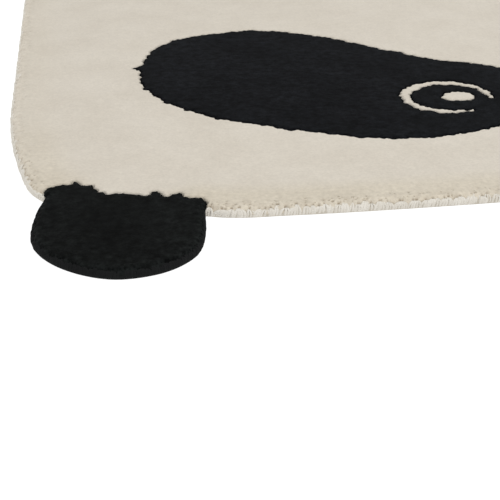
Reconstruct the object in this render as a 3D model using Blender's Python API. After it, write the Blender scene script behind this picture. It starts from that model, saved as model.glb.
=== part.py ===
"""A panda face rug, lying flat: a hand-tufted wool panel with black ears, eye patches and nose.

Units are metres. +Z is up, and the underside lies at Z = 0. +X runs across the face from ear to
ear, and +Y runs from the ears to the chin. The origin is under the middle of the rug.
"""

import math
from collections import namedtuple

import bmesh
import bpy
from mathutils import Vector
from mathutils.geometry import interpolate_bezier

# Heights above the floor
CLOTH_TOP = 0.002
PILE_TOP = 0.009
INLAY_FLOOR = 0.0045
EDGE_TOP = 0.0086

# Across the pieces
EDGE_WIDTH = 0.006
GAP = 0.0003
RIM = EDGE_WIDTH + GAP
CUT_PAST = 0.003

# Spacing of an outline's points, and how near to each other they are one point
HEAD_STEP = 0.018
FINE_STEP = 0.005
LOCK_STEP = 0.003
INLAY_TURN = math.radians(9)
SAME_POINT = 0.00001

# The face, from the middle line to its right-hand edge
HALF_WIDTH = 0.600
HEAD_TOP = -0.416
EAR_TIP = -0.500
CHIN = 0.500
EAR_MIDDLE = 0.510

SIDES = {"right": 1, "left": -1}

# An anchor of an outline: its place, the heading in degrees there, and the lengths of the
# handles before and after it. Outlines run anticlockwise, seen from above.
Anchor = namedtuple("Anchor", "x y heading before after")
# A pointed lock of pile: how far round the outline it stands, its reach and its width.
Lock = namedtuple("Lock", "place reach width")
# An open ring or a spot of pile in an eye patch.
Ring = namedtuple("Ring", "x y radius_x radius_y width opens sweep")
Spot = namedtuple("Spot", "x y radius_x radius_y")

HALF_HEAD = (
    Anchor(0.0, HEAD_TOP, 0, 0.200, 0.200),
    Anchor(0.385, -0.4168, 2, 0.120, 0.022),
    Anchor(0.4395, -0.4093, 22, 0.024, 0.036),
    Anchor(0.5712, -0.3595, 65, 0.026, 0.023),
    Anchor(0.5886, -0.2890, 81, 0.031, 0.055),
    Anchor(0.599, -0.140, 90, 0.063, 0.101),
    Anchor(HALF_WIDTH, 0.220, 90, 0.119, 0.160),
    Anchor(0.0, CHIN, 180, 0.330, 0.330),
)
EAR = (
    Anchor(0.507, EAR_TIP, 0, 0.026, 0.026),
    Anchor(0.573, -0.4292, 92, 0.037, 0.042),
    Anchor(0.5460, -0.3505, 180, 0.016, 0.016),
    Anchor(0.4985, -0.3775, 188, 0.022, 0.022),
    Anchor(0.4397, -0.4060, 273, 0.019, 0.022),
    Anchor(0.4538, -0.4752, 309, 0.017, 0.019),
)
EAR_LOCKS = (
    Lock(0.392, 0.0045, 0.030),
    Lock(0.440, 0.0065, 0.010),
    Lock(0.468, 0.0055, 0.014),
    Lock(0.552, 0.0035, 0.030),
    Lock(0.602, 0.0095, 0.014),
    Lock(0.637, 0.0095, 0.013),
    Lock(0.682, 0.0055, 0.034),
)
EYE_PATCH = (
    Anchor(0.473, -0.092, 94, 0.050, 0.080),
    Anchor(0.347, 0.046, 177, 0.096, 0.056),
    Anchor(0.202, -0.046, 226, 0.053, 0.030),
    Anchor(0.140, -0.094, 195, 0.020, 0.035),
    Anchor(0.075, -0.187, 270, 0.045, 0.050),
    Anchor(0.235, -0.2950, -2, 0.089, 0.052),
    Anchor(0.401, -0.2260, 32, 0.048, 0.048),
)
PATCH_LOCKS = (
    Lock(0.020, 0.0110, 0.014),
    Lock(0.110, 0.0030, 0.022),
    Lock(0.190, 0.0035, 0.026),
    Lock(0.275, 0.0030, 0.020),
    Lock(0.352, 0.0040, 0.024),
    Lock(0.520, 0.0035, 0.018),
    Lock(0.610, 0.0050, 0.014),
    Lock(0.690, 0.0030, 0.016),
    Lock(0.745, 0.0035, 0.012),
    Lock(0.805, 0.0030, 0.014),
    Lock(0.868, 0.0040, 0.012),
    Lock(0.925, 0.0045, 0.012),
    Lock(0.965, 0.0055, 0.012),
)
EYE_RING = Ring(0.180, -0.197, 0.047, 0.045, 0.0105, math.radians(-138), math.radians(302))
# The ring's width at its two ends, as a share of its full width
RING_END = 0.25
EYE_GLINT = Spot(0.170, -0.197, 0.016, 0.013)
HALF_NOSE = (
    Anchor(0.0, 0.155, 0, 0.040, 0.040),
    Anchor(0.088, 0.188, 88, 0.026, 0.030),
    Anchor(0.0, 0.277, 180, 0.034, 0.034),
)

# Linear colour and roughness of each yarn
YARNS = {
    "cream_wool": ((0.66, 0.60, 0.52), 0.95),
    "black_wool": ((0.012, 0.012, 0.013), 0.9),
    "cream_edge_yarn": ((0.74, 0.71, 0.64), 0.9),
    "black_edge_yarn": ((0.010, 0.010, 0.011), 0.85),
}


def clear_scene():
    for item in list(bpy.data.objects):
        bpy.data.objects.remove(item, do_unlink=True)


def new_collection(name):
    collection = bpy.data.collections.new(name)
    bpy.context.scene.collection.children.link(collection)
    return collection


def yarn(name):
    """The material of that name, made the first time it is asked for."""
    material = bpy.data.materials.get(name)
    if material is None:
        colour, roughness = YARNS[name]
        material = bpy.data.materials.new(name)
        material.use_nodes = True
        shader = material.node_tree.nodes["Principled BSDF"]
        shader.inputs["Base Color"].default_value = (*colour, 1)
        shader.inputs["Roughness"].default_value = roughness
        shader.inputs["Metallic"].default_value = 0
        material.diffuse_color = (*colour, 1)
    return material


# Outlines


def direction(degrees):
    angle = math.radians(degrees)
    return Vector((math.cos(angle), math.sin(angle)))


def whole(half):
    """The anchors of a closed outline, from those on its right-hand side."""
    left = [
        Anchor(-a.x, a.y, -a.heading, a.after, a.before) for a in reversed(half[1:-1])
    ]
    return [*half, *left]


def outline(anchors, step):
    """A closed loop of points, about step apart, on the smooth curve through the anchors."""
    anchors = list(anchors)
    points = []
    for a, b in zip(anchors, anchors[1:] + anchors[:1]):
        start, end = Vector((a.x, a.y)), Vector((b.x, b.y))
        leaving = start + a.after * direction(a.heading)
        arriving = end - b.before * direction(b.heading)
        count = max(2, round((end - start).length / step))
        points += interpolate_bezier(start, leaving, arriving, end, count + 1)[:-1]
    return points


def inward(loop):
    """The inward normal at each point of a loop."""
    normals = []
    for before, after in zip(loop[-1:] + loop[:-1], loop[1:] + loop[:1]):
        along = (after - before).normalized()
        normals.append(Vector((-along.y, along.x)))
    return normals


def inset(loop, distance):
    """The loop drawn in by distance, or let out where distance is negative."""
    return [point + distance * normal for point, normal in zip(loop, inward(loop))]


def with_locks(loop, locks):
    """The loop with pointed locks of pile pushed out of it."""
    lengths = [(b - a).length for a, b in zip(loop, loop[1:] + loop[:1])]
    around = sum(lengths)
    points, travelled = [], 0
    for point, normal, length in zip(loop, inward(loop), lengths):
        out = 0
        for lock in locks:
            away = abs(travelled - lock.place * around)
            away = min(away, around - away)
            out += lock.reach * max(0, 1 - 2 * away / lock.width)
        points.append(point - out * normal)
        travelled += length
    return points


def on_side(loop, side):
    """The loop as it is on the right, or mirrored to the left, still anticlockwise."""
    return [Vector((side * point.x, point.y)) for point in loop][::side]


def ring_loop(ring, grow=0):
    """The outline of an open ring that narrows to its two ends."""
    count = round(ring.sweep / INLAY_TURN)
    outer, inner = [], []
    for i in range(count + 1):
        angle = ring.opens + 0.5 * (math.tau - ring.sweep) + ring.sweep * i / count
        swell = math.sqrt(max(0, math.sin(math.pi * i / count)))
        half = ring.width / 2 * (RING_END + (1 - RING_END) * swell) + grow
        for loop, offset in ((outer, half), (inner, -half)):
            x = ring.x + (ring.radius_x - ring.width / 2 + offset) * math.cos(angle)
            y = ring.y + (ring.radius_y - ring.width / 2 + offset) * math.sin(angle)
            loop.append(Vector((x, y)))
    return [*outer, *reversed(inner)]


def spot_loop(spot, grow=0):
    """The outline of an oval spot."""
    count = round(math.tau / (2 * INLAY_TURN))
    loop = []
    for i in range(count):
        angle = math.tau * i / count
        x = spot.x + (spot.radius_x + grow) * math.cos(angle)
        y = spot.y + (spot.radius_y + grow) * math.sin(angle)
        loop.append(Vector((x, y)))
    return loop


# Solids


def meshed(name, curve, collection, place=(0, 0, 0)):
    """The curve as a closed mesh object, so that it can be cut and joined."""
    drawn = bpy.data.objects.new(name + "_curve", curve)
    drawn.location = place
    bpy.context.scene.collection.objects.link(drawn)
    bpy.context.view_layer.update()
    graph = bpy.context.evaluated_depsgraph_get()
    mesh = bpy.data.meshes.new_from_object(drawn.evaluated_get(graph))
    shape = bmesh.new()
    shape.from_mesh(mesh)
    bmesh.ops.remove_doubles(shape, verts=shape.verts, dist=SAME_POINT)
    bmesh.ops.recalc_face_normals(shape, faces=shape.faces)
    shape.to_mesh(mesh)
    shape.free()
    solid = bpy.data.objects.new(name, mesh)
    solid.matrix_world = drawn.matrix_world
    collection.objects.link(solid)
    bpy.data.objects.remove(drawn, do_unlink=True)
    bpy.data.curves.remove(curve)
    return solid


def flat_solid(name, loop, low, high, collection):
    """The area inside a loop, from height low to height high."""
    curve = bpy.data.curves.new(name, "CURVE")
    curve.dimensions = "2D"
    curve.fill_mode = "BOTH"
    curve.extrude = (high - low) / 2
    spline = curve.splines.new("POLY")
    spline.points.add(len(loop) - 1)
    for point, place in zip(spline.points, loop):
        point.co = (place.x, place.y, 0, 1)
    spline.use_cyclic_u = True
    solid = meshed(name, curve, collection, (0, 0, (high + low) / 2))
    merge_caps(solid.data)
    return solid


def merge_caps(mesh):
    """Make the top one face and the underside one face, with no slivers along straight runs."""
    shape = bmesh.new()
    shape.from_mesh(mesh)
    for up in (1, -1):
        cap = [face for face in shape.faces if all(up * v.co.z > 0 for v in face.verts)]
        bmesh.ops.dissolve_faces(shape, faces=cap)
    shape.to_mesh(mesh)
    shape.free()


def hide(solid):
    solid.hide_render = True
    solid.display_type = "WIRE"
    return solid


def combine(solid, other, operation):
    """Cut solid with other, join them or keep what they share."""
    modifier = solid.modifiers.new(f"{operation}_{other.name}".lower(), "BOOLEAN")
    modifier.operation = operation
    modifier.object = hide(other)


def bead_profile(collection):
    """The rounded section of the overcast edge, in a curve of its own."""
    curve = bpy.data.curves.new("edge_section", "CURVE")
    curve.dimensions = "2D"
    spline = curve.splines.new("POLY")
    corners = ((1.0, 0.45), (0.55, 1.0), (-0.55, 1.0), (-1.0, 0.45))
    section = [*corners, *((-x, -y) for x, y in corners)]
    spline.points.add(len(section) - 1)
    for point, (x, y) in zip(spline.points, section):
        point.co = (x * EDGE_WIDTH / 2, y * EDGE_TOP / 2, 0, 1)
    spline.use_cyclic_u = True
    profile = bpy.data.objects.new("edge_section", curve)
    collection.objects.link(profile)
    return hide(profile)


def bead(name, path, closed, profile, collection):
    """Overcast yarn along a path, as one rounded bead."""
    curve = bpy.data.curves.new(name, "CURVE")
    curve.dimensions = "3D"
    curve.twist_mode = "Z_UP"
    curve.bevel_mode = "OBJECT"
    curve.bevel_object = profile
    curve.use_fill_caps = True
    spline = curve.splines.new("POLY")
    spline.points.add(len(path) - 1)
    for point, place in zip(spline.points, path):
        point.co = (place.x, place.y, 0, 1)
    spline.use_cyclic_u = closed
    return meshed(name, curve, collection, (0, 0, EDGE_TOP / 2))


class Rug:
    """The rug's outlines, and a function for each of its kinds of piece."""

    def __init__(self):
        self.parts = new_collection("panda_face_rug")
        self.cutters = new_collection("cutters")
        self.head = outline(whole(HALF_HEAD), HEAD_STEP)
        ear = outline(EAR, FINE_STEP)
        pile = with_locks(outline(EAR, LOCK_STEP), EAR_LOCKS)
        patch = with_locks(outline(EYE_PATCH, FINE_STEP), PATCH_LOCKS)
        self.ears = {name: on_side(ear, side) for name, side in SIDES.items()}
        self.ear_piles = {name: on_side(pile, side) for name, side in SIDES.items()}
        self.patches = {name: on_side(patch, side) for name, side in SIDES.items()}
        self.nose = outline(whole(HALF_NOSE), FINE_STEP)

    def cutter(self, name, loop, low, high=PILE_TOP + CUT_PAST):
        return flat_solid(f"{name}_cutter", loop, low, high, self.cutters)

    def blank(self, name, low, high, collection):
        """Head and ears in one outline, inside the overcast edge."""
        solid = flat_solid(name, inset(self.head, RIM), low, high, collection)
        for side, ear in self.ears.items():
            lobe = flat_solid(f"{name}_{side}_lobe", inset(ear, RIM), low, high, self.cutters)
            combine(solid, lobe, "UNION")
        return solid

    def panel(self):
        """The ground cloth with the cream pile on it, and a pocket for each black field."""
        solid = self.blank("rug_panel", 0, PILE_TOP, self.parts)
        for side in SIDES:
            for name, loops in (("ear", self.ear_piles), ("eye_patch", self.patches)):
                pocket = self.cutter(f"{name}_{side}", loops[side], CLOTH_TOP)
                combine(solid, pocket, "DIFFERENCE")
        combine(solid, self.cutter("nose", self.nose, CLOTH_TOP), "DIFFERENCE")
        solid.data.materials.append(yarn("cream_wool"))

    def field(self, name, loop):
        """Black pile standing on the ground cloth inside a loop."""
        low = CLOTH_TOP + GAP
        solid = flat_solid(name, inset(loop, GAP), low, PILE_TOP, self.parts)
        solid.data.materials.append(yarn("black_wool"))
        return solid

    def ear(self, side):
        solid = self.field(f"ear_{side}", self.ear_piles[side])
        inside = self.blank(f"ear_{side}_blank", -CUT_PAST, PILE_TOP + CUT_PAST, self.cutters)
        combine(solid, inside, "INTERSECT")

    def eye(self, side):
        """An eye patch with a ring and a glint of cream pile in it."""
        patch = self.field(f"eye_patch_{side}", self.patches[side])
        inlays = {"eye_ring": (ring_loop, EYE_RING), "eye_glint": (spot_loop, EYE_GLINT)}
        for kind, (loop_of, inlay) in inlays.items():
            name = f"{kind}_{side}"
            hole = on_side(loop_of(inlay), SIDES[side])
            combine(patch, self.cutter(name, hole, INLAY_FLOOR), "DIFFERENCE")
            fill = on_side(loop_of(inlay, -GAP), SIDES[side])
            solid = flat_solid(name, fill, INLAY_FLOOR + GAP, PILE_TOP, self.parts)
            solid.data.materials.append(yarn("cream_wool"))

    def edges(self):
        """Overcast yarn: cream on the head between the ears and round the chin, black on the ears."""
        profile = bead_profile(self.cutters)
        low = -CUT_PAST
        line = inset(self.head, EDGE_WIDTH / 2)
        turn = next(i for i, point in enumerate(line) if point.x > EAR_MIDDLE)
        runs = {"edge_top": line[-turn:] + line[: turn + 1], "edge_sides": line[turn : 1 - turn]}
        for name, run in runs.items():
            solid = bead(name, run, False, profile, self.parts)
            for side, ear in self.ears.items():
                grown = self.cutter(f"{name}_{side}_ear", inset(ear, -GAP), low)
                combine(solid, grown, "DIFFERENCE")
            solid.data.materials.append(yarn("cream_edge_yarn"))
        for side, ear in self.ears.items():
            name = f"edge_ear_{side}"
            solid = bead(name, inset(ear, EDGE_WIDTH / 2), True, profile, self.parts)
            head = self.cutter(f"{name}_head", inset(self.head, EDGE_WIDTH), low)
            combine(solid, head, "DIFFERENCE")
            solid.data.materials.append(yarn("black_edge_yarn"))


def main():
    clear_scene()
    rug = Rug()
    rug.panel()
    for side in SIDES:
        rug.ear(side)
        rug.eye(side)
    rug.field("nose", rug.nose)
    rug.edges()


main()
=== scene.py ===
"""The panda face rug as it looks: cut pile, carved colour borders and an overcast rim.

Units are metres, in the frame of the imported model. +Z is up, +X runs across the face from ear to
ear, and +Y runs from the ears to the chin. Outlines are arrays of (x, y) rows with the rug on
their left-hand side.
"""

import math
from collections import namedtuple

import bpy
import numpy as np
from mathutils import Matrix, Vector, kdtree, noise
from mathutils.geometry import delaunay_2d_cdt


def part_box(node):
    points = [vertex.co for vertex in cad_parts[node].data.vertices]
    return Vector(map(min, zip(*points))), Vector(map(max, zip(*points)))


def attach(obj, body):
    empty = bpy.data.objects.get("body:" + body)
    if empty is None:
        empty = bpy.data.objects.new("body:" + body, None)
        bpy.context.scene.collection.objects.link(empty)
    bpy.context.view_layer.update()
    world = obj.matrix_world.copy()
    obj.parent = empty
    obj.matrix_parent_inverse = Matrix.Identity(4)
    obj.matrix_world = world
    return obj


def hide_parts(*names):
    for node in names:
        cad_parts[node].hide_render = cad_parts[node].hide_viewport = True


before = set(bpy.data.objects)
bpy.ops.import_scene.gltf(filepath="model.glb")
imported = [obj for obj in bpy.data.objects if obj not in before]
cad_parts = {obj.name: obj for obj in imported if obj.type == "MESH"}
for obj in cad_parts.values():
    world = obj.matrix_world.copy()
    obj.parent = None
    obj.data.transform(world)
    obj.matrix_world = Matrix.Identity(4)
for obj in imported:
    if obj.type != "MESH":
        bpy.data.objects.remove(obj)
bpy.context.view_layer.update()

MM = 0.001
FAR = 10.0
SAME_PLACE = 0.001 * MM
# What the random draws and the noise start from
SEED = 11
WANDER_SEED = 3

# The camera: a low look at the rug's corner from beyond its left ear
CAMERA_PLACE = (-0.5151, -1.1713, 0.3782)
CAMERA_HEADING = math.radians(8.215)
CAMERA_PITCH = math.radians(28.01)
CAMERA_LENS = 79.2
CAMERA_NEAR = 0.01

# The floor, the bright surroundings and the lamp
FLOOR_HALF = 30.0
FLOOR_DROP = 0.2 * MM
FLOOR_GLOW = 1.0
SURROUNDINGS = 0.85
LAMP_PLACE = (0.5, -1.0, 2.4)
LAMP_SIZE = 2.5
LAMP_POWER = 30
WHITE = (1, 1, 1, 1)

# The rims that go round the head, and the sides of the face
HEAD_RIMS = ("edge_top", "edge_sides")
SIDES = ("left", "right")

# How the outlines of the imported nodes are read: how level a face is that belongs to a top, how far
# its middle may be off the top's height, and how near to each other two points are joined
LEVEL = 0.9
SAME_HEIGHT = 0.1 * MM
THIN = 0.4 * MM
# How far apart the points of the smooth lines are
BORDER_STEP = 1.3 * MM
SPINE_STEP = 3 * MM
CLOTH_STEP = 8 * MM
# How many points a smooth line has for each of these steps, before it is spaced evenly
FINER = 3
# Where a line turns more sharply than this, it has a corner
SHARP_TURN = math.radians(50)

# Pile
CLOTH_TOP = 2.0 * MM
FIELD_PITCH = 4.6 * MM
# How far apart the rows of a grid of even triangles are, for its pitch
EVEN_ROWS = math.sqrt(0.75)
SHARP_PILE = math.radians(75)
# How the pile rises from the ground cloth beside a carved border, and over the overcast rim:
# distance in from the border, and height, in millimetres
CARVED = ((0.0, 2.1), (0.3, 6.4), (0.8, 8.0), (1.7, 8.75), (3.2, 9.0))
OVERHANG = ((0.0, 3.4), (0.5, 5.2), (1.2, 6.6), (2.2, 7.8), (3.4, 8.5), (5.2, 9.0))
# Rows of points nearer to a border than this, in millimetres, are twice as dense as the others
DENSE_ROWS = 2.0
# A point of a row stays where no other border is nearer than this share of the row's distance
ROW_SHARE = 0.8
# How much the cut height of single tufts varies
CUT_VARIES = 0.05 * MM
# How far the pile reaches out over the rim, how far past the rim's middle line that takes it, in
# what steps, and how near a border is to that line where it does, in millimetres
PILE_REACH = 5.3
PILE_OVER = 2.3
REACH_STEP = 0.3
BESIDE_RIM = 8.0
# A border hangs over the rim where it is let out by more than this share of PILE_REACH
LET_OUT = 0.5

# The hole in the pile where a stitch goes in: how deep it is, its least radius and how much wider
# it is for its depth, how much the holes vary in depth, and between what shares of it they stay
HOLE_DEPTH = 2.3 * MM
HOLE_RADIUS = 0.5 * MM
HOLE_WIDENS = 1.0 * MM
HOLE_VARIES = 0.38
HOLE_SHARES = (0.25, 1.5)
# How many points are round a hole, and how wide the inner ring of them is for the outer one
HOLE_SIDES = 7
HOLE_INNER = 0.45
# How near to a hole other points of the pile come, for its radius, and how near to a border the
# points of a hole come
HOLE_CLEAR = 1.25
BORDER_CLEAR = 0.25 * MM
# How far behind the yarn the middle of a hole lies, and how much nearer to the edge than usual the
# yarn may go in, the latter in millimetres
HOLE_BACK = 0.9 * MM
HOLE_OUT = 0.6
# How far from the ends of a rim there are no holes or stitches
END_CLEAR = 1.0 * MM
# Over what distance from the ends of a rim its holes get shallower
SLACKENS = (50 * MM, 130 * MM)
# How deep the holes are away from the ends of a rim, as a share of those at its ends
SLACK = {"edge_top": 0.85, "edge_sides": 0.12}
# Gaps between tufts near the rim: how far they lie in from the rim's middle line, in
# millimetres, and how deep they are as a share of a hole
TUFT_GAP_REACH = (0.0, 10.0)
TUFT_GAP_SHARE = (0.05, 0.75)

# Towards the rim the pile leans over and its tone changes with painted light and shade, and again
# with painted light where it rounds down over the rim: how far in that is, in millimetres
LEANING = (24.0, 46.0)
ROUNDING = (3.0, 9.0)
# The pile lies towards the ears, so it leans over the rim there, and less at the sides and chin; its
# painted light and shade by the rim follow that
LAY = (-0.36, -0.20)
LAY_LEAST = 0.3
# Beside the rim the pile is made of finer rows, so that its tufts show. Their height varies fully
# as far in as FRINGE_FULL, in millimetres
FRINGE = 13.0 * MM
FRINGE_PITCH = 1.6 * MM
FRINGE_FULL = 4.0
TUFT_JITTER = 0.3
# A tuft this much lower than the others gets as much painted shade as a hole, and how much painted
# shade tufts get at most
TUFT_SHADE_DEPTH = 3.5 * MM
TUFT_SHADE_MOST = 0.15
# How a border or the pile's surface wanders: which layer of the noise it follows, and the length
# and reach of its waves, in millimetres
Wander = namedtuple("Wander", "layer waves")
RAGGED = Wander(1.5, ((11.0, 1.8), (4.2, 2.4), (2.4, 1.6)))
RAGGED_RIM = Wander(2.5, ((11.0, 0.5), (4.0, 1.4)))
UNEVEN = Wander(7.5, ((34.0, 0.22), (9.0, 0.10)))
UNEVEN_FRINGE = Wander(9.5, ((5.0, 1.1), (2.6, 1.0)))

# Overcast yarn: the path that a stitch follows from under the rim into the pile, as its place
# along the rim, its distance out from the rim's middle line, its height, its strands' width and
# thickness and how far they spread as shares of the yarn's, and how far it follows its own hole
Path = namedtuple("Path", "along out up width thickness spread follows")
STITCH_PATH = (
    Path(-0.7, -1.0, 0.60, 0.80, 0.60, 1.00, 0.0),
    Path(-0.6, 1.2, 0.70, 1.00, 0.75, 1.00, 0.0),
    Path(-0.5, 2.0, 1.50, 1.05, 0.95, 1.00, 0.0),
    Path(-0.4, 2.15, 2.60, 1.05, 1.00, 1.00, 0.0),
    Path(-0.2, 2.20, 3.80, 1.05, 1.00, 0.96, 0.1),
    Path(0.0, 2.00, 4.90, 1.00, 0.95, 0.86, 0.4),
    Path(0.0, 1.50, 5.90, 0.85, 0.85, 0.62, 0.8),
    Path(0.0, 0.70, 6.50, 0.65, 0.75, 0.34, 1.0),
    Path(0.0, -0.40, 5.40, 0.50, 0.50, 0.20, 1.0),
)
# The row of the path at the mouth of the hole
HOLE_ROW = 7
# How much higher the yarn goes in for each distance that its hole lies further back
BACK_RISES = 0.7
# A kind of yarn on the rim: how far apart its stitches are, half the width and thickness of a
# strand and half the spread of the strands, how much the stitches vary in place, width and slant
# and in how far back their holes lie, how deep a hole is as a share of HOLE_DEPTH, and how many
# gaps between tufts there are for each stitch
Yarn = namedtuple(
    "Yarn", "pitch half_width half_thickness spread place width slant back hole gaps"
)
CREAM_YARN = Yarn(5.3, 1.20, 0.85, 2.45, 0.15, 0.14, 1.1, 1.2, 0.9, 2.0)
BLACK_YARN = Yarn(3.4, 1.05, 0.60, 1.6, 0.12, 0.10, 0.5, 0.3, 0.2, 0.0)
STRANDS = 3
YARN_SIDES = 7
# How much a strand varies along the rim, as a share of the spread, and outwards, in millimetres
STRAND_VARIES = 0.08
STRAND_VARIES_OUT = 0.12
YARN_LOWEST = 0.1 * MM
# The rim under the stitches, as distance out and height, and how much its thickness varies
RIM_SECTION = (
    (-3.2, 0.4),
    (1.9, 0.2),
    (2.5, 1.6),
    (2.45, 3.2),
    (1.9, 4.6),
    (0.2, 5.6),
    (-3.2, 5.6),
)
RIM_STEP = 4.0 * MM
RIM_VARIES = 0.03


# Lines and outlines


def lengths(line):
    """How far along a line each of its points lies."""
    return np.concatenate([[0], np.cumsum(np.linalg.norm(np.diff(line, axis=0), axis=1))])


def spaced(line, count, closed=False):
    """The same line with count points, evenly spaced, and any values that its points carry."""
    travelled = lengths(line[:, :2])
    places = np.linspace(0, travelled[-1], count, endpoint=not closed)
    return np.stack([np.interp(places, travelled, column) for column in line.T], axis=1)


def smooth(points, step, closed=True):
    """Points about step apart on a smooth curve through the given ones."""
    if closed:
        points = np.vstack([points[-2:], points, points[:3]])
    gaps = np.linalg.norm(np.diff(points, axis=0), axis=1)
    slopes = np.diff(points, axis=0) / gaps[:, None]
    before, after = gaps[:-1, None], gaps[1:, None]
    tangents = (slopes[:-1] * after + slopes[1:] * before) / (before + after)
    tangents = np.vstack([slopes[:1], tangents, slopes[-1:]])
    first, last = (2, len(points) - 3) if closed else (0, len(points) - 1)
    curve = []
    for i in range(first, last):
        count = max(2, math.ceil(FINER * gaps[i] / step))
        t = np.linspace(0, 1, count, endpoint=False)[:, None]
        curve.append(
            (2 * t**3 - 3 * t**2 + 1) * points[i]
            + (t**3 - 2 * t**2 + t) * gaps[i] * tangents[i]
            + (3 * t**2 - 2 * t**3) * points[i + 1]
            + (t**3 - t**2) * gaps[i] * tangents[i + 1]
        )
    curve = np.vstack([*curve, points[last]])
    return spaced(curve, round(lengths(curve)[-1] / step), closed)


def unit(vectors):
    """The same vectors, each of length 1."""
    return vectors / np.linalg.norm(vectors, axis=-1, keepdims=True)


def headings(line, closed):
    """Unit vectors along a line at each of its points."""
    if closed:
        return unit(np.roll(line, -1, axis=0) - np.roll(line, 1, axis=0))
    return unit(np.gradient(line, axis=0))


def sideways(loop):
    """The inward normal at each point of a loop."""
    along = headings(loop, True)
    return np.stack([-along[:, 1], along[:, 0]], axis=1)


def area(loop):
    """The area inside a loop, negative where it runs clockwise."""
    after = np.roll(loop, -1, axis=0)
    return 0.5 * np.sum(loop[:, 0] * after[:, 1] - after[:, 0] * loop[:, 1])


def inside(points, loops):
    """Which points the loops run round anticlockwise, less the holes that run clockwise."""
    order = np.argsort(points[:, 1])
    levels = points[order, 1]
    turns = np.zeros(len(points), int)
    for loop in loops:
        for a, b in zip(loop, np.roll(loop, -1, axis=0)):
            low, high = np.searchsorted(levels, sorted((a[1], b[1])))
            which = order[low:high]
            if len(which):
                share = (points[which, 1] - a[1]) / (b[1] - a[1])
                left = points[which, 0] < a[0] + share * (b[0] - a[0])
                turns[which] += np.where(left, 1 if b[1] > a[1] else -1, 0)
    return turns > 0


def tree_of(points):
    """A tree that finds the nearest of the points to a place on the floor."""
    tree = kdtree.KDTree(len(points))
    for i, (x, y) in enumerate(points[:, :2]):
        tree.insert((x, y, 0), i)
    tree.balance()
    return tree


def thinned(loop):
    """The loop without points that all but coincide with the one before."""
    return loop[np.linalg.norm(loop - np.roll(loop, 1, axis=0), axis=1) > THIN]


def node_loops(node, up=1):
    """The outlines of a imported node's top, or of its underside where up is -1, largest first."""
    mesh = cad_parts[node].data
    places = np.array([vertex.co for vertex in mesh.vertices])
    height = places[:, 2].max() if up > 0 else places[:, 2].min()
    keys = [tuple(row) for row in np.round(places[:, :2] / SAME_PLACE).astype(int)]
    edges = set()
    for face in mesh.polygons:
        if up * face.normal.z > LEVEL and abs(face.center.z - height) < SAME_HEIGHT:
            corners = [keys[i] for i in face.vertices][::up]
            edges |= set(zip(corners, corners[1:] + corners[:1]))
    after = {a: b for a, b in edges if (b, a) not in edges}
    loops = []
    while after:
        loop = [next(iter(sorted(after)))]
        while loop[-1] in after:
            loop.append(after.pop(loop[-1]))
        loops.append(thinned(np.array(loop[:-1]) * SAME_PLACE))
    return sorted(loops, key=lambda loop: -abs(area(loop)))


def spine(node, middle):
    """The middle line of a bead of overcast yarn, running anticlockwise round middle."""
    loop = node_loops(node)[0]
    along = np.roll(loop, -1, axis=0) - loop
    heading = np.arctan2(along[:, 1], along[:, 0])
    turn = (heading - np.roll(heading, 1) + math.pi) % math.tau - math.pi
    corners = np.flatnonzero(np.abs(turn) > SHARP_TURN)
    runs = []
    for start, end in zip(corners, np.roll(corners, -1)):
        count = (end - start - 1) % len(loop) + 2
        runs.append(loop[(start + np.arange(count)) % len(loop)])
    one, other = sorted(runs, key=lambda run: -lengths(run)[-1])[:2]
    count = max(len(one), len(other))
    line = (spaced(one, count) + spaced(other, count)[::-1]) / 2
    away = line - np.array(middle)
    swept = np.sum(away[:-1, 0] * away[1:, 1] - away[1:, 0] * away[:-1, 1])
    return smooth(line if swept > 0 else line[::-1], SPINE_STEP, False)


def wander(points, kind):
    """A small move for each point, alike for points that lie close together."""
    moves = np.zeros((len(points), 3))
    for length, reach in kind.waves:
        for i, (x, y) in enumerate(points / (length * MM)):
            moves[i] += reach * MM * np.array(noise.noise_vector(Vector((x, y, kind.layer))))
    return moves


# Pieces


def mesh_of(name, places, faces):
    """A smooth-shaded mesh from points and faces."""
    mesh = bpy.data.meshes.new(name)
    mesh.from_pydata([tuple(place) for place in places], [], faces)
    mesh.validate()
    mesh.shade_smooth()
    return mesh


def add_piece(name, mesh, material, slot, *nodes):
    """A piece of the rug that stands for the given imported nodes."""
    piece = bpy.data.objects.new(name, mesh)
    bpy.context.scene.collection.objects.link(piece)
    mesh.materials.append(material)
    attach(piece, "root")
    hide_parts(*nodes)
    return piece


def loop_edges(loops):
    """Pairs of indices along loops whose points are stacked in one array."""
    edges, first = [], 0
    for loop in loops:
        count = len(loop)
        edges += [(first + i, first + (i + 1) % count) for i in range(count)]
        first += count
    return edges


def triangles_inside(points, edges, loops):
    """The points joined by triangles that keep to the edges and lie inside the loops."""
    corners = [Vector(point) for point in points]
    places, _, faces, origins, _, _ = delaunay_2d_cdt(corners, edges, [], 0, SAME_PLACE, True)
    places = np.array([tuple(place) for place in places])
    faces = np.array(faces)
    faces = faces[inside(places[faces].mean(axis=1), loops)]
    return places, faces, origins


def underside(places, faces, loops):
    """Faces that close a surface from below, between the edges that only one face has."""
    sides = np.vstack([faces[:, [0, 1]], faces[:, [1, 2]], faces[:, [2, 0]]]).tolist()
    sides = {tuple(side) for side in sides}
    open_sides = sorted((a, b) for a, b in sides if (b, a) not in sides)
    corners = sorted({a for side in open_sides for a in side})
    order = {corner: i for i, corner in enumerate(corners)}
    edges = [(order[a], order[b]) for a, b in open_sides]
    _, under, origins = triangles_inside(places[corners], edges, loops)
    return [[corners[origins[i][0]] for i in face[::-1]] for face in under]


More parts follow.
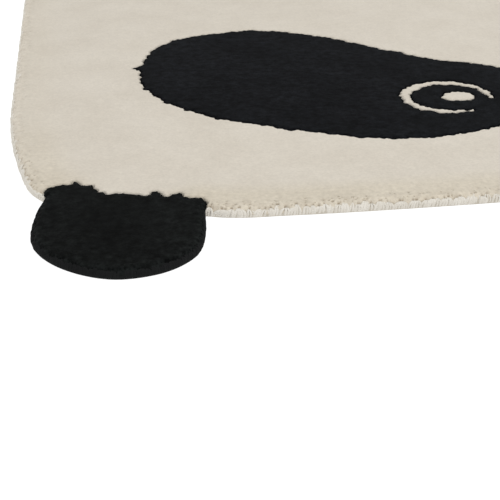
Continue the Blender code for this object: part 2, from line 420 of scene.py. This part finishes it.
def tube_faces(count, sides, first=0):
    """Faces of a tube of count rings, with its ends closed."""
    faces = []
    for i in range(count - 1):
        for j in range(sides):
            a, b = first + i * sides + j, first + i * sides + (j + 1) % sides
            faces.append((a, b, b + sides, a + sides))
    faces.append(tuple(range(first, first + sides))[::-1])
    faces.append(tuple(range(first + (count - 1) * sides, first + count * sides)))
    return faces


# Pile


def let_out(loop, rims, others):
    """How far out each point of a loop moves over the rims, short of the fields next to it."""
    spines, fields = tree_of(np.vstack(rims)), tree_of(np.vstack(others))
    reach = np.zeros(len(loop))
    for i, (place, out) in enumerate(zip(loop, -sideways(loop))):
        apart = spines.find((*place, 0))[2] / MM
        if apart < BESIDE_RIM:
            tries = np.arange(min(PILE_REACH, apart + PILE_OVER), 0, -REACH_STEP) * MM
            free = (t for t in tries if fields.find((*(place + t * out), 0))[2] > t)
            reach[i] = next(free, 0)
    return reach


class Border:
    """The outlines of a field of pile, let out over the overcast rim where they run beside it."""

    def __init__(self, loops, rims, others):
        self.loops, self.over = [], []
        for loop in loops:
            reach = let_out(loop, rims, others) if rims else np.zeros(len(loop))
            line = np.column_stack([loop - reach[:, None] * sideways(loop), reach])
            tree = tree_of(loop)
            apart = np.array([tree.find((x, y, 0))[2] for x, y, _ in line])
            line = line[apart > reach - REACH_STEP * MM]
            line = np.vstack([line, line[:1]])
            line = spaced(line, round(lengths(line[:, :2])[-1] / BORDER_STEP), True)
            loop, share = line[:, :2], line[:, 2:] / (PILE_REACH * MM)
            ragged = wander(loop, RAGGED)[:, :2] * (1 - share)
            ragged += wander(loop, RAGGED_RIM)[:, :2] * share
            across = sideways(loop)
            self.loops.append(loop + np.sum(ragged * across, axis=1, keepdims=True) * across)
            self.over.append(share[:, 0] > LET_OUT)
        self.points = np.vstack(self.loops)
        over = np.concatenate(self.over)
        self.kinds = [self.points[which] for which in (~over, over)]
        self.trees = [tree_of(kind) for kind in self.kinds]

    def near(self, points):
        """How far points are from the plain border, and from the border over the rim."""
        away = np.full((2, len(points)), FAR)
        for row, kind, tree in zip(away, self.kinds, self.trees):
            if len(kind):
                row[:] = [tree.find((x, y, 0))[2] for x, y in points]
        return away


class Holes:
    """The holes in a field of pile, from rows of x, y and depth as a share of HOLE_DEPTH."""

    def __init__(self, rows):
        self.rows = rows
        self.radii = HOLE_RADIUS + HOLE_WIDENS * rows[:, 2]
        self.tree = tree_of(rows)

    def points(self):
        """Points on and round each hole, so that the pile can dip there."""
        turns = np.arange(HOLE_SIDES) * math.tau / HOLE_SIDES
        ring = np.stack([np.cos(turns), np.sin(turns)], axis=1)
        spots = np.vstack([[(0, 0)], HOLE_INNER * ring, ring])[None] * self.radii[:, None, None]
        return (self.rows[:, None, :2] + spots).reshape(-1, 2)

    def near(self, places):
        """How far off the nearest hole is for its radius, and its depth, for each place."""
        if len(self.rows) == 0 or len(places) == 0:
            return np.full(len(places), FAR), np.zeros(len(places))
        found = [self.tree.find((x, y, 0)) for x, y in places]
        nearest = [index for _, index, _ in found]
        apart = np.array([distance for _, _, distance in found])
        return apart / self.radii[nearest], self.rows[nearest, 2]


def free(row, border, holes):
    """Those points of a row that lie inside the pile and clear of the holes."""
    row = row[inside(row, border.loops)]
    return row[holes.near(row)[0] > HOLE_CLEAR]


def border_rows(border, holes, loop, over):
    """Rows of points beside one outline, where its pile changes height."""
    rows = []
    for profile, which in ((CARVED, ~over), (OVERHANG, over)):
        for distance, _ in profile[1:]:
            step = 1 if distance < DENSE_ROWS else 2
            row = (loop + distance * MM * sideways(loop))[which][::step]
            row = free(row, border, holes)
            rows.append(row[np.minimum(*border.near(row)) > ROW_SHARE * distance * MM])
    return rows


def fringe_rows(border, holes, loop, over, rng):
    """Loose rows of points beside the part of one outline that hangs over the rim."""
    rows = []
    for distance in np.arange(OVERHANG[-1][0] * MM, FRINGE, FRINGE_PITCH)[1:]:
        row = (loop + distance * sideways(loop))[over][::2]
        row = row + rng.uniform(-TUFT_JITTER, TUFT_JITTER, row.shape) * FRINGE_PITCH
        row = free(row, border, holes)
        plain, rim = border.near(row)
        rows.append(row[(rim > distance - FRINGE_PITCH / 2) & (plain > CARVED[-1][0] * MM)])
    return rows


def loose_grid(border, rng):
    """Points all over the rest of a field, away from its borders."""
    low, high = border.points.min(axis=0), border.points.max(axis=0)
    across = np.arange(low[0], high[0], FIELD_PITCH)
    up = np.arange(low[1], high[1], FIELD_PITCH * EVEN_ROWS)
    x, y = np.meshgrid(across, up)
    x[1::2] += FIELD_PITCH / 2
    grid = np.stack([x.ravel(), y.ravel()], axis=1)
    grid += rng.uniform(-TUFT_JITTER, TUFT_JITTER, grid.shape) * FIELD_PITCH
    grid = grid[inside(grid, border.loops)]
    plain, rim = border.near(grid)
    far_in = plain > CARVED[-1][0] * MM + FIELD_PITCH / 2
    return grid[far_in & (rim > FRINGE + FIELD_PITCH / 2)]


def pile_points(border, holes, rng):
    """Points for the surface of a field of pile, from its borders inwards."""
    spots = holes.points()
    spots = spots[inside(spots, border.loops)]
    rows = [border.points, spots[np.minimum(*border.near(spots)) > BORDER_CLEAR]]
    for loop, over in zip(border.loops, border.over):
        rows += border_rows(border, holes, loop, over)
        rows += fringe_rows(border, holes, loop, over, rng)
    return np.vstack([*rows, loose_grid(border, rng)])


def pile_height(border, holes, places, rng):
    """How high the pile stands at each place, and shares of 0 to 1 for the painted light and shade
    of its tone there: painted shade in its holes and sunken tufts, and painted light and shade where
    it leans and rounds over the rim.
    """
    plain, over = border.near(places) / MM
    height = np.minimum(np.interp(plain, *zip(*CARVED)), np.interp(over, *zip(*OVERHANG))) * MM
    risen = np.interp(np.minimum(plain, over), (0, CARVED[-1][0]), (0, 1))
    fringe = np.interp(over, (0, FRINGE_FULL, FRINGE / MM), (1, 1, 0))
    tufts = fringe * wander(places, UNEVEN_FRINGE)[:, 2]
    height += risen * wander(places, UNEVEN)[:, 2] + tufts
    height += risen * rng.normal(0, CUT_VARIES, len(places))
    apart, depth = holes.near(places)
    dip = depth * np.clip(1 - apart, 0, 1)
    height -= dip**0.5 * HOLE_DEPTH
    # Painted shade: how much the holes, the gaps between tufts and the sunken tufts are darkened
    sunk = np.maximum(np.clip(-tufts / TUFT_SHADE_DEPTH, 0, TUFT_SHADE_MOST), dip)
    # Painted light and shade where the pile leans towards the rim, and painted light where it rounds
    # down over it
    leaning, rounding = (np.interp(over, reach, (1, 0)) for reach in (LEANING, ROUNDING))
    leaning *= np.interp(places[:, 1], LAY, (1, LAY_LEAST))
    return height, {"sunk": sunk, "leaning": leaning, "rounding": rounding}


# A field of pile: its name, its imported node, its material and slot, the rims whose stitches go
# into it, the rims that it hangs over, and the nodes next to it that it stops short of
Field = namedtuple("Field", "name node material slot sewn over beside", defaults=((), (), ()))


def pile_fields(cream, black, face_black_painted_sheen):
    """The fields of pile that the rug is made of."""
    ears = [f"ear_{side}" for side in SIDES]
    fields = [
        Field("head", "rug_panel", cream, "cream_wool", HEAD_RIMS, HEAD_RIMS, ears),
        Field("nose", "nose", face_black_painted_sheen, "black_wool"),
    ]
    for ear, side in zip(ears, SIDES):
        rim, patch = f"edge_{ear}", f"eye_patch_{side}"
        rims = (rim, *HEAD_RIMS)
        fields.append(Field(ear, ear, black, "black_wool", (rim,), rims, ("rug_panel",)))
        fields.append(Field(patch, patch, face_black_painted_sheen, "black_wool"))
        for inlay in (f"eye_ring_{side}", f"eye_glint_{side}"):
            fields.append(Field(inlay, inlay, cream, "cream_wool"))
    return fields


def add_field(field, border, holes):
    """Cut pile inside a border, a closed piece that stands on the ground cloth."""
    rng = np.random.default_rng(SEED)
    points = pile_points(border, holes, rng)
    places, faces, _ = triangles_inside(points, loop_edges(border.loops), border.loops)
    height, shares = pile_height(border, holes, places, rng)
    faces = [*faces.tolist(), *underside(places, faces, border.loops)]
    mesh = mesh_of(f"{field.name}_pile", np.column_stack([places, height]), faces)
    mesh.set_sharp_from_angle(angle=SHARP_PILE)
    for key, share in shares.items():
        mesh.attributes.new(key, "FLOAT", "POINT").data.foreach_set("value", share)
    return add_piece(mesh.name, mesh, field.material, field.slot, field.node)


def add_pile(fields, stitches):
    """All the pile of the rug, with holes where the stitches of each rim go in."""
    outlines = {}
    for field in fields:
        outlines[field.node] = [smooth(loop, BORDER_STEP) for loop in node_loops(field.node)]
    pieces = []
    for field in fields:
        rims = [stitches[rim].track.line for rim in field.over]
        beside = [loop for node in field.beside for loop in outlines[node]]
        border = Border(outlines[field.node], rims, beside)
        rows = [stitches[rim].holes() for rim in field.sewn]
        holes = Holes(np.vstack([np.empty((0, 3)), *rows]))
        pieces.append(add_field(field, border, holes))
    return pieces


# Overcast rim


class Track:
    """A line on the floor, with places beside it and above it."""

    def __init__(self, line):
        self.line = line
        self.travelled = lengths(line)
        self.length = self.travelled[-1]
        self.headings = headings(line, False)

    def at(self, along, out, up):
        """The places that far along the line, out to its right and up, for arrays of each."""
        x, y = (np.interp(along, self.travelled, column) for column in self.line.T)
        ahead_x, ahead_y = (np.interp(along, self.travelled, part) for part in self.headings.T)
        return np.stack([x + out * ahead_y, y - out * ahead_x, up], axis=-1)


def rim_under(track, rng):
    """The rim that the stitches wrap, as points and faces."""
    count = round(track.length / RIM_STEP)
    along = np.linspace(0, track.length, count)[:, None]
    out, up = (np.array(column) * MM for column in zip(*RIM_SECTION))
    swell = 1 + rng.normal(0, RIM_VARIES, (count, 1))
    places = track.at(*np.broadcast_arrays(along, out * swell, up * swell))
    return places.reshape(-1, 3), tube_faces(count, len(RIM_SECTION))


class Stitches:
    """Whip stitches over a rim, each of a few strands that fan out from one hole.

    Away from the ends of the rim, slack is the depth of the holes as a share of that at the ends.
    """

    def __init__(self, line, yarn, seed, slack=1.0):
        self.track, self.yarn, self.slack = Track(line), yarn, slack
        self.rng = np.random.default_rng(seed)
        self.count = round(self.track.length / (yarn.pitch * MM))
        path = Path(*(np.array(column) for column in zip(*STITCH_PATH)))
        pitch = (self.track.length - 2 * END_CLEAR) / self.count
        middle = (np.arange(self.count)[:, None] + 0.5 + self.varied(yarn.place)) * pitch
        middle += END_CLEAR
        back = path.follows * np.maximum(self.varied(yarn.back), -HOLE_OUT)
        slant = path.follows * self.varied(yarn.slant)
        along = middle + (path.along + slant) * MM
        out = (path.out - back) * MM
        up = (path.up + BACK_RISES * back) * MM
        self.centre = np.stack([along, out, up], axis=-1)
        self.half_width = yarn.half_width * MM * path.width * (1 + self.varied(yarn.width))
        self.half_thick = (
            yarn.half_thickness * MM * path.thickness * (1 + self.varied(yarn.width))
        )
        self.spread = yarn.spread * MM * path.spread * (1 + self.varied(yarn.width))

    def varied(self, spread):
        """A random value round 0 for each stitch, as a column."""
        return self.rng.normal(0, spread, (self.count, 1))

    def holes(self):
        """The holes where the stitches go into the pile, and gaps between the tufts there."""
        into, out, up = self.centre[:, HOLE_ROW].T
        holes = self.track.at(into, out - HOLE_BACK, up)
        depths = np.clip(1 + self.varied(HOLE_VARIES)[:, 0], *HOLE_SHARES)
        holes[:, 2] = self.yarn.hole * depths
        count = round(self.yarn.gaps * self.count)
        between = self.rng.uniform(END_CLEAR, self.track.length - END_CLEAR, count)
        out = -self.rng.uniform(*TUFT_GAP_REACH, count) * MM
        gaps = self.track.at(between, out, out)
        gaps[:, 2] = self.rng.uniform(*TUFT_GAP_SHARE, count)
        holes = np.vstack([holes, gaps])
        along = np.concatenate([into, between])
        from_end = np.minimum(along, self.track.length - along)
        holes[:, 2] *= np.interp(from_end, SLACKENS, (1, self.slack))
        return holes

    def strand(self, aside):
        """The points of one strand of every stitch, at a share of the spread to one side."""
        turns = np.arange(YARN_SIDES) * math.tau / YARN_SIDES
        centre = self.centre.copy()
        centre[..., 0] += (aside + self.varied(STRAND_VARIES)) * self.spread
        centre[..., 1] += self.varied(STRAND_VARIES_OUT) * MM
        ahead = unit(np.gradient(centre, axis=1))
        outward = unit(np.stack([0 * ahead[..., 0], ahead[..., 2], -ahead[..., 1]], axis=-1))
        across = np.cross(ahead, outward)
        wide = self.half_width[..., None] * np.cos(turns)
        thick = self.half_thick[..., None] * np.sin(turns)
        places = centre[:, :, None] + wide[..., None] * across[:, :, None]
        places = places + thick[..., None] * outward[:, :, None]
        up = np.maximum(places[..., 2], YARN_LOWEST)
        return self.track.at(places[..., 0], places[..., 1], up)

    def mesh(self):
        """The strands as points and faces."""
        strands = [self.strand(aside) for aside in np.linspace(-1, 1, STRANDS)]
        rings = len(STITCH_PATH)
        faces = []
        for k in range(STRANDS * self.count):
            faces += tube_faces(rings, YARN_SIDES, k * rings * YARN_SIDES)
        return np.stack(strands).reshape(-1, 3), faces


def all_stitches():
    """The stitches of each rim: cream round the head and black round the ears."""
    stitches = {}
    for rim in HEAD_RIMS:
        stitches[rim] = Stitches(spine(rim, (0, 0)), CREAM_YARN, SEED + len(rim), SLACK[rim])
    for side in SIDES:
        rim = f"edge_ear_{side}"
        low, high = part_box(f"ear_{side}")
        middle = ((low.x + high.x) / 2, (low.y + high.y) / 2)
        stitches[rim] = Stitches(spine(rim, middle), BLACK_YARN, SEED + len(rim))
    return stitches


def overcast(node, stitches, yarn, shade, slot):
    """Yarn whipped over the rim along one bead, and the rim that it wraps."""
    mesh = mesh_of(f"{node}_rim", *rim_under(stitches.track, stitches.rng))
    add_piece(f"{node}_rim", mesh, shade, slot, node)
    mesh = mesh_of(f"{node}_stitches", *stitches.mesh())
    add_piece(f"{node}_stitches", mesh, yarn, slot, node)


# Ground cloth


def ground_cloth(loop, material):
    """The woven cloth under the pile, laid flat."""
    loop = smooth(loop, CLOTH_STEP)
    flat, faces, _ = triangles_inside(loop, loop_edges([loop]), [loop])
    count = len(flat)
    low = np.column_stack([flat, np.zeros(count)])
    high = np.column_stack([flat, np.full(count, CLOTH_TOP)])
    sides = [(a, b, b + count, a + count) for a, b in loop_edges([loop])]
    under = [face[::-1] for face in faces.tolist()]
    faces = [*under, *(faces + count).tolist(), *sides]
    mesh = mesh_of("ground_cloth", np.vstack([low, high]), faces)
    mesh.set_sharp_from_angle(angle=SHARP_TURN)
    cloth = add_piece("ground_cloth", mesh, material, "cream_wool", "rug_panel")
    low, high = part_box("rug_panel")
    return cloth


# Materials


# Which inputs and which output of a mixing node are colours
FIRST_COLOUR = 6
SECOND_COLOUR = 7
MIXED_COLOUR = 2


class Surface:
    """A new material, and a short way to add nodes to it."""

    def __init__(self, name):
        self.material = bpy.data.materials.new(name)
        self.material.use_nodes = True
        self.tree = self.material.node_tree
        self.shader = self.tree.nodes["Principled BSDF"]
        self.place = self.tree.nodes.new("ShaderNodeTexCoord").outputs["Object"]

    def fill(self, node, **inputs):
        """Links or sets inputs of a node. Their names have _ for a space."""
        for name, value in inputs.items():
            socket = node.inputs[name.replace("_", " ")]
            if isinstance(value, bpy.types.NodeSocket):
                self.tree.links.new(value, socket)
            else:
                socket.default_value = value

    def node(self, kind, settings=(), **inputs):
        """A new node of a kind, with its settings and inputs."""
        made = self.tree.nodes.new(kind)
        for name, value in dict(settings).items():
            setattr(made, name, value)
        self.fill(made, **inputs)
        return made

    def noise(self, size, detail=2.0, roughness=0.5):
        """Noise from 0 to 1 with blotches of about the given size."""
        made = self.node(
            "ShaderNodeTexNoise",
            Vector=self.place,
            Scale=1 / size,
            Detail=detail,
            Roughness=roughness,
        )
        return made.outputs["Fac"]

    def attribute(self, name):
        """A value that the points of the mesh carry."""
        return self.node("ShaderNodeAttribute", {"attribute_name": name}).outputs["Fac"]

    def blend(self, share, low, high, start=0.3, end=0.7):
        """A colour that goes from low to high as share goes from start to end."""
        made = self.node("ShaderNodeValToRGB", Fac=share)
        stops = ((start, low), (end, high))
        for element, (position, colour) in zip(made.color_ramp.elements, stops):
            element.position = position
            element.color = (*colour, 1)
        return made.outputs["Color"]

    def multiply(self, one, other, share=None):
        """One colour times another, or less than that where share is below 1."""
        made = self.node(
            "ShaderNodeMix", {"data_type": "RGBA", "blend_type": "MULTIPLY"}, Factor=share or 1
        )
        self.tree.links.new(one, made.inputs[FIRST_COLOUR])
        self.tree.links.new(other, made.inputs[SECOND_COLOUR])
        return made.outputs[MIXED_COLOUR]

    def bump(self, height, distance, **under):
        """Bumps of a height, on top of any under them that are given as Normal."""
        made = self.node(
            "ShaderNodeBump", Height=height, Distance=distance, Strength=1.0, **under
        )
        return made.outputs["Normal"]


def grey(value):
    """A colour of three equal parts."""
    return (value, value, value)


# A kind of cut wool: its colour where the pile leans to one side and to the other, lighter and
# darker as painted light and shade, and what that is multiplied by: painted shade in a hole, painted
# light and shade where the pile leans over towards the rim, and painted light where it rounds down
# over the rim. Then its sheen, and how strong its blotches are, the grain of its tufts, and the
# tousled tufts where it leans over
Wool = namedtuple("Wool", "light dark sunk leaning rounding sheen mottle grain tousle")
CREAM = Wool(
    light=(0.635, 0.586, 0.507),
    dark=(0.600, 0.550, 0.471),
    sunk=(0.42, 0.34, 0.27),
    leaning=(0.955, 0.94, 0.895),
    rounding=(1.085, 1.085, 1.09),
    sheen=0.1,
    mottle=0.045,
    grain=0.09,
    tousle=0.07,
)
BLACK = Wool(
    light=(0.0077, 0.0089, 0.0086),
    dark=(0.0046, 0.0053, 0.0051),
    sunk=grey(0.85),
    leaning=grey(1.4),
    rounding=grey(1.6),
    sheen=0.01,
    mottle=0.65,
    grain=0.5,
    tousle=0.4,
)
# The black of the face: the same black, painted lighter and bluer as sheen. It lies flat, and is as
# dark up to its borders, without the painted light and shade towards the rim
FACE_BLACK_PAINTED_SHEEN = BLACK._replace(
    light=(0.0117, 0.0131, 0.0158),
    dark=(0.0068, 0.0077, 0.0093),
    leaning=grey(1.0),
    rounding=grey(1.0),
    tousle=0.0,
)
# How large the marks of the pile are: the patches whose pile leans alike, painted lighter and darker
# as light and shade, the blotches, the tufts, the tousled tufts, and the coarse and fine grain that
# the light shows. Then the depth of that grain
LEAN_SIZE = 45 * MM
BLOTCH_SIZE = 8 * MM
TUFT_SIZE = 2.4 * MM
TOUSLE_SIZE = 4.5 * MM
COARSE_SIZE = 5.5 * MM
FIBRE_SIZE = 1.3 * MM
PILE_BUMP = 0.35 * MM
# The painted shade of a hole is at its darkest from this share of its full depth on
DARKEST = 0.9
# Spun yarn: its lighter and darker tone and its sheen, then the size of its tones and fibres, and
# how far the fibres stand out
Tone = namedtuple("Tone", "light dark sheen")
CREAM_TONE = Tone((0.70, 0.667, 0.604), (0.63, 0.593, 0.525), 0.1)
# The cream rim under the stitches: the cream yarn painted darker, as painted shade between the
# strands
RIM_SHADE_TONE = Tone((0.56, 0.52, 0.45), (0.48, 0.44, 0.37), 0.1)
# The black yarn, painted lighter than the black pile as sheen on the front of the rim
BLACK_TONE_PAINTED_SHEEN = Tone((0.0115, 0.0120, 0.0122), (0.009, 0.0094, 0.0096), 0.01)
TONE_SIZE = 7 * MM
YARN_FIBRE_SIZE = 0.9 * MM
YARN_BUMP = 0.3 * MM
# How wool takes the light
WOOL_GLOSS = 0.04
SHEEN_ROUGHNESS = 0.5
# The ground cloth: its tones and their size, the width and waviness of its weave, and its depth
CANVAS_TONES = ((0.42, 0.37, 0.29), (0.50, 0.45, 0.36))
CANVAS_SIZE = 20 * MM
WEAVE_SIZE = 9 * MM
WEAVE_WAVES = 0.4
WEAVE_BUMP = 0.4 * MM
# The floor's tones and their size
FLOOR_TONES = (grey(0.11), grey(0.13))
FLOOR_SIZE = 0.4


def pile_material(name, wool):
    """Short cut wool: painted light and shade in blotches where the pile leans, the grain of its
    tufts, painted shade in the holes, and painted light and shade towards the rim.
    """
    made = Surface(name)
    near = made.attribute("leaning")
    # Painted light and shade: patches whose pile leans alike are painted lighter and darker
    lean_patch_shading = made.blend(made.noise(LEAN_SIZE), wool.dark, wool.light)
    blotches = made.blend(made.noise(BLOTCH_SIZE), grey(1 - wool.mottle), grey(1.0))
    rough = made.noise(TOUSLE_SIZE, detail=3.0)
    rough = made.blend(rough, grey(1 - wool.tousle), grey(1 + wool.tousle))
    shaded = made.multiply(made.multiply(lean_patch_shading, blotches), rough, near)
    for share in (
        made.blend(made.noise(TUFT_SIZE), grey(1 - wool.grain), grey(1.0)),
        # Painted shade in the holes and the sunken tufts
        made.blend(made.attribute("sunk"), grey(1.0), wool.sunk, 0.0, DARKEST),
        # Painted light and shade where the pile leans over towards the rim
        made.blend(near, grey(1.0), wool.leaning, 0.0, 1.0),
        # Painted light where the pile rounds down over the rim
        made.blend(made.attribute("rounding"), grey(1.0), wool.rounding, 0.0, 1.0),
    ):
        shaded = made.multiply(shaded, share)
    coarse = made.bump(made.noise(COARSE_SIZE), PILE_BUMP)
    fibres = made.noise(FIBRE_SIZE, detail=4.0, roughness=0.65)
    made.fill(
        made.shader,
        Base_Color=shaded,
        Normal=made.bump(fibres, PILE_BUMP, Normal=coarse),
        Roughness=1.0,
        Specular_IOR_Level=WOOL_GLOSS,
        Sheen_Weight=wool.sheen,
        Sheen_Roughness=SHEEN_ROUGHNESS,
    )
    return made.material


def yarn_material(name, tone):
    """Spun wool yarn with its fibres standing out a little."""
    made = Surface(name)
    fibres = made.noise(YARN_FIBRE_SIZE, detail=3.0, roughness=0.6)
    made.fill(
        made.shader,
        Base_Color=made.blend(made.noise(TONE_SIZE), tone.dark, tone.light),
        Normal=made.bump(fibres, YARN_BUMP),
        Roughness=0.95,
        Specular_IOR_Level=WOOL_GLOSS,
        Sheen_Weight=tone.sheen,
        Sheen_Roughness=SHEEN_ROUGHNESS,
    )
    return made.material


def canvas_material():
    """Plain-woven cotton."""
    made = Surface("canvas")
    weave = made.node("ShaderNodeMath", {"operation": "MULTIPLY"})
    for threads, direction in zip(weave.inputs, ("X", "Y")):
        wave = made.node(
            "ShaderNodeTexWave",
            {"bands_direction": direction},
            Vector=made.place,
            Scale=1 / WEAVE_SIZE,
            Distortion=WEAVE_WAVES,
        )
        made.tree.links.new(wave.outputs["Fac"], threads)
    made.fill(
        made.shader,
        Base_Color=made.blend(made.noise(CANVAS_SIZE), *CANVAS_TONES),
        Normal=made.bump(weave.outputs["Value"], WEAVE_BUMP),
        Roughness=0.9,
    )
    return made.material


def floor_material():
    """A pale, matt floor that is as bright as its surroundings."""
    made = Surface("pale_floor")
    made.fill(
        made.shader,
        Base_Color=made.blend(made.noise(FLOOR_SIZE), *FLOOR_TONES),
        Roughness=0.8,
        Specular_IOR_Level=0.0,
        Emission_Color=WHITE,
        Emission_Strength=FLOOR_GLOW,
    )
    return made.material


# Floor, light and camera


def add_floor():
    """A large flat floor just under the rug."""
    ends = ((-1, -1), (1, -1), (1, 1), (-1, 1))
    corners = [(x * FLOOR_HALF, y * FLOOR_HALF, -FLOOR_DROP) for x, y in ends]
    mesh = mesh_of("floor", corners, [(0, 1, 2, 3)])
    mesh.materials.append(floor_material())
    floor = bpy.data.objects.new("floor", mesh)
    bpy.context.scene.collection.objects.link(floor)


def add_light():
    """Even light from all round, and a large lamp above the rug."""
    world = bpy.data.worlds.new("studio")
    world.use_nodes = True
    background = world.node_tree.nodes["Background"]
    background.inputs["Color"].default_value = WHITE
    background.inputs["Strength"].default_value = SURROUNDINGS
    bpy.context.scene.world = world
    lamp = bpy.data.lights.new("softbox", "AREA")
    lamp.size = LAMP_SIZE
    lamp.energy = LAMP_POWER
    softbox = bpy.data.objects.new("softbox", lamp)
    softbox.location = LAMP_PLACE
    softbox.rotation_euler = (-softbox.location).to_track_quat("-Z", "Y").to_euler()
    bpy.context.scene.collection.objects.link(softbox)


def add_camera():
    """The camera that the rug is looked at through."""
    data = bpy.data.cameras.new("camera")
    data.lens = CAMERA_LENS
    data.clip_start = CAMERA_NEAR
    camera = bpy.data.objects.new("camera", data)
    camera.location = CAMERA_PLACE
    camera.rotation_euler = (math.pi / 2 - CAMERA_PITCH, 0, -CAMERA_HEADING)
    bpy.context.scene.collection.objects.link(camera)
    bpy.context.scene.camera = camera


def add_rug():
    """The pile, the overcast rims and the ground cloth."""
    cream = pile_material("cream_pile", CREAM)
    black = pile_material("black_pile", BLACK)
    face_black_painted_sheen = pile_material("black_pile_face_painted_sheen", FACE_BLACK_PAINTED_SHEEN)
    cream_yarn = yarn_material("cream_yarn", CREAM_TONE)
    # The cream rim under the stitches gets painted shade
    rim_shade_yarn = yarn_material("cream_yarn_painted_shade", RIM_SHADE_TONE)
    black_yarn_painted_sheen = yarn_material("black_yarn_painted_sheen", BLACK_TONE_PAINTED_SHEEN)
    stitches = all_stitches()
    pieces = add_pile(pile_fields(cream, black, face_black_painted_sheen), stitches)
    for rim in HEAD_RIMS:
        overcast(rim, stitches[rim], cream_yarn, rim_shade_yarn, "cream_edge_yarn")
    for side in SIDES:
        rim = f"edge_ear_{side}"
        overcast(rim, stitches[rim], black_yarn_painted_sheen, black_yarn_painted_sheen, "black_edge_yarn")
    ground_cloth(node_loops("rug_panel", -1)[0], canvas_material())


noise.seed_set(WANDER_SEED)
add_rug()
add_floor()
add_light()
add_camera()
bpy.context.scene.view_settings.view_transform = "Standard"
